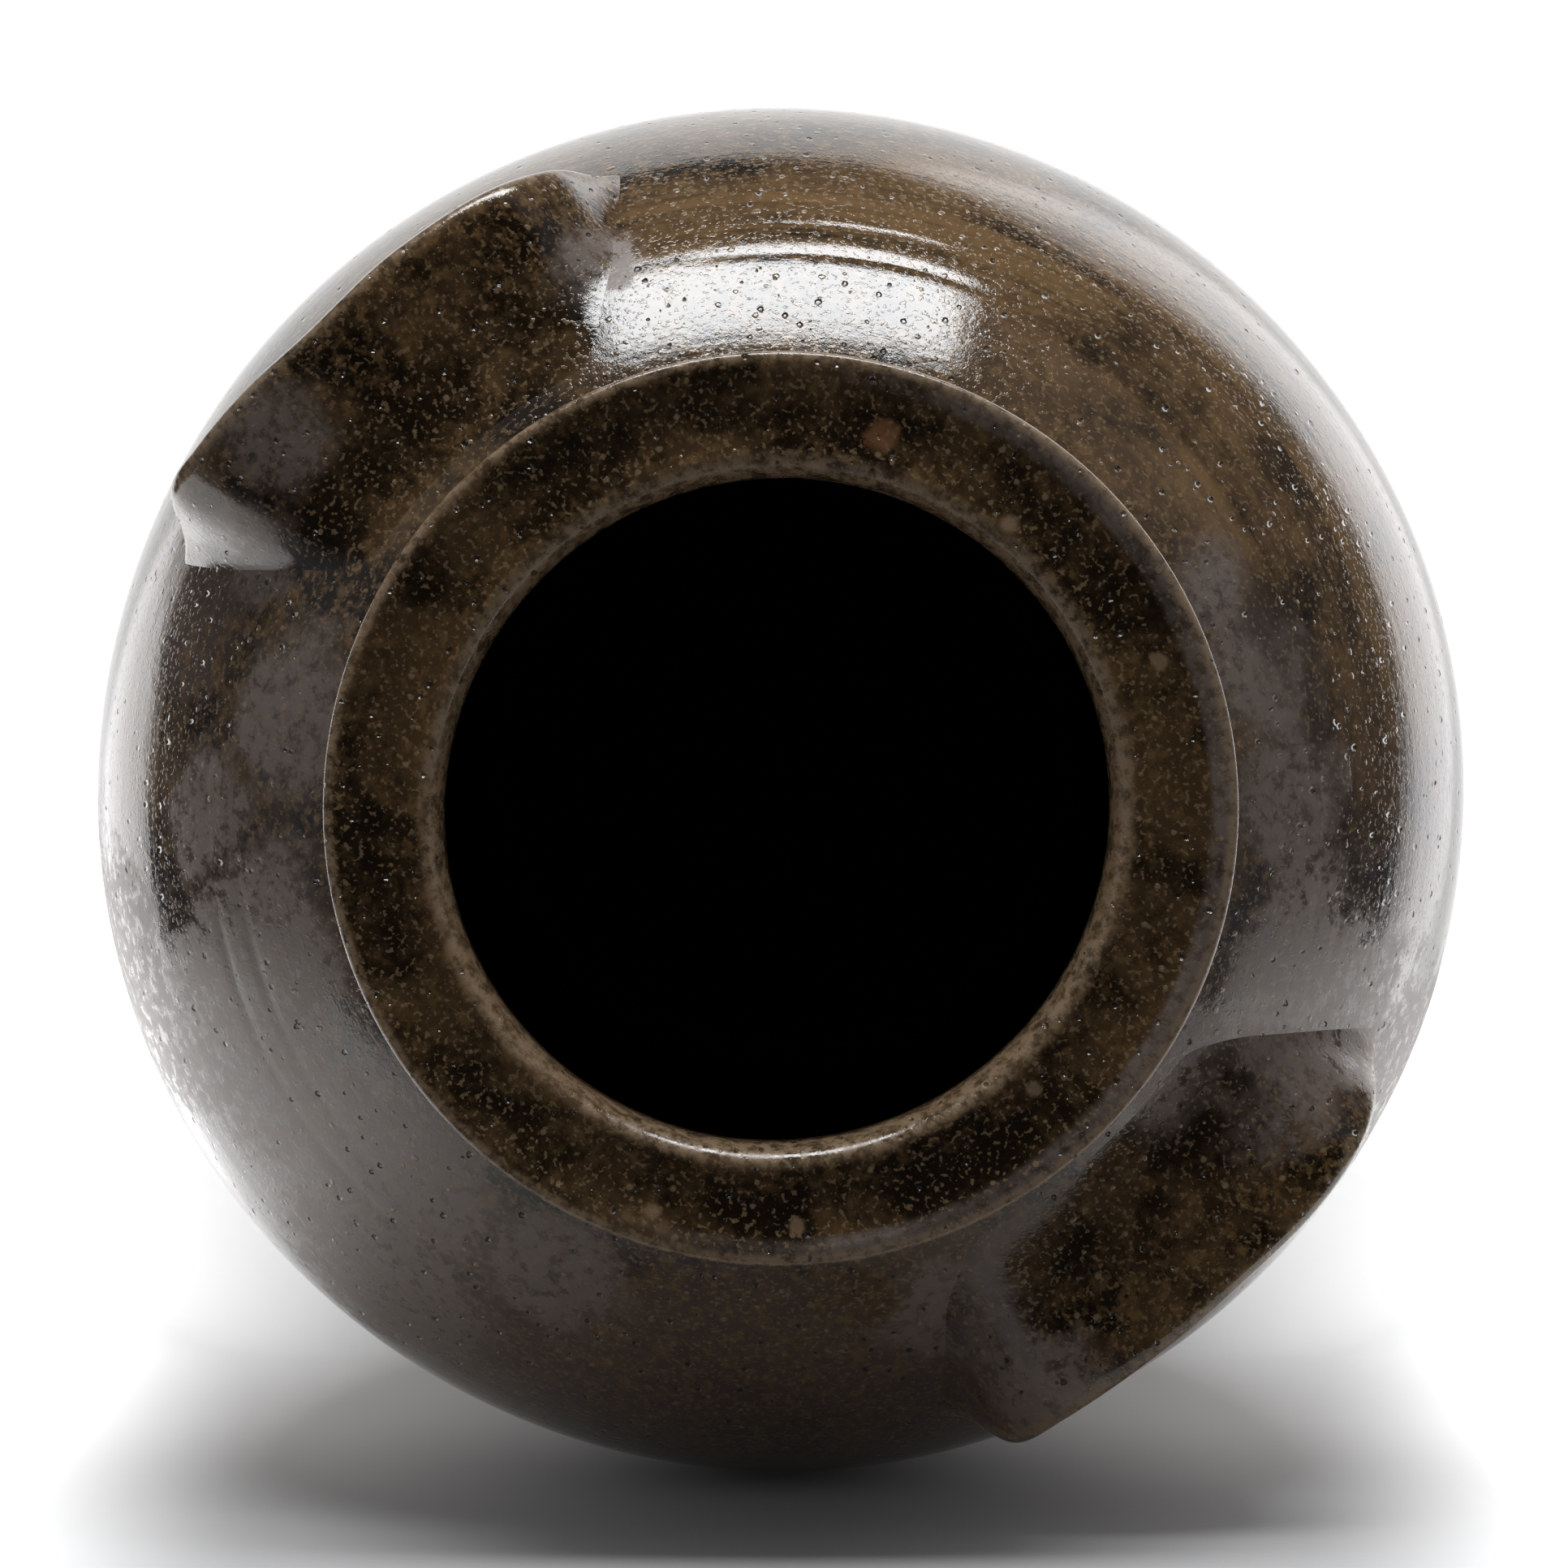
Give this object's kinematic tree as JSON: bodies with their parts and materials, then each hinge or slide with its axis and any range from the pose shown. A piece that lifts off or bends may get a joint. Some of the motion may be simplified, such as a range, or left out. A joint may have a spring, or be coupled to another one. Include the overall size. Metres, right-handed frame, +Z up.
{
  "type": "stoneware storage jar",
  "caption": "Round-bellied glazed stoneware storage jar with a broad ledged rim, incised ring lines on the shoulder and slab lug handles.",
  "frame": {"origin": "centre of the foot, on the surface that the jar stands on", "axes": "+Z up along the jar's axis, X through the two lug handles"},
  "size_m": [0.337, 0.337, 0.4],
  "materials": {
    "brown_glaze": "glossy, mottled dark brown ash-type glaze with tan specks",
    "inner_glaze": "glossy dark brown lining glaze",
    "foot_clay": "bare fired stoneware with glaze drips round its edge"
  },
  "bodies": {
    "root": {"base_slab": "foot_clay", "base_luting_coil": "inner_glaze", "lower_wall": "brown_glaze", "lower_seam_coil": "inner_glaze", "belly_wall": "brown_glaze", "upper_seam_coil": "inner_glaze", "shoulder_wall": "brown_glaze", "rim_collar": "brown_glaze", "lug_handle_right": "brown_glaze", "right_lug_luting": "brown_glaze", "lug_handle_left": "brown_glaze", "left_lug_luting": "brown_glaze"}
  },
  "joints": []
}
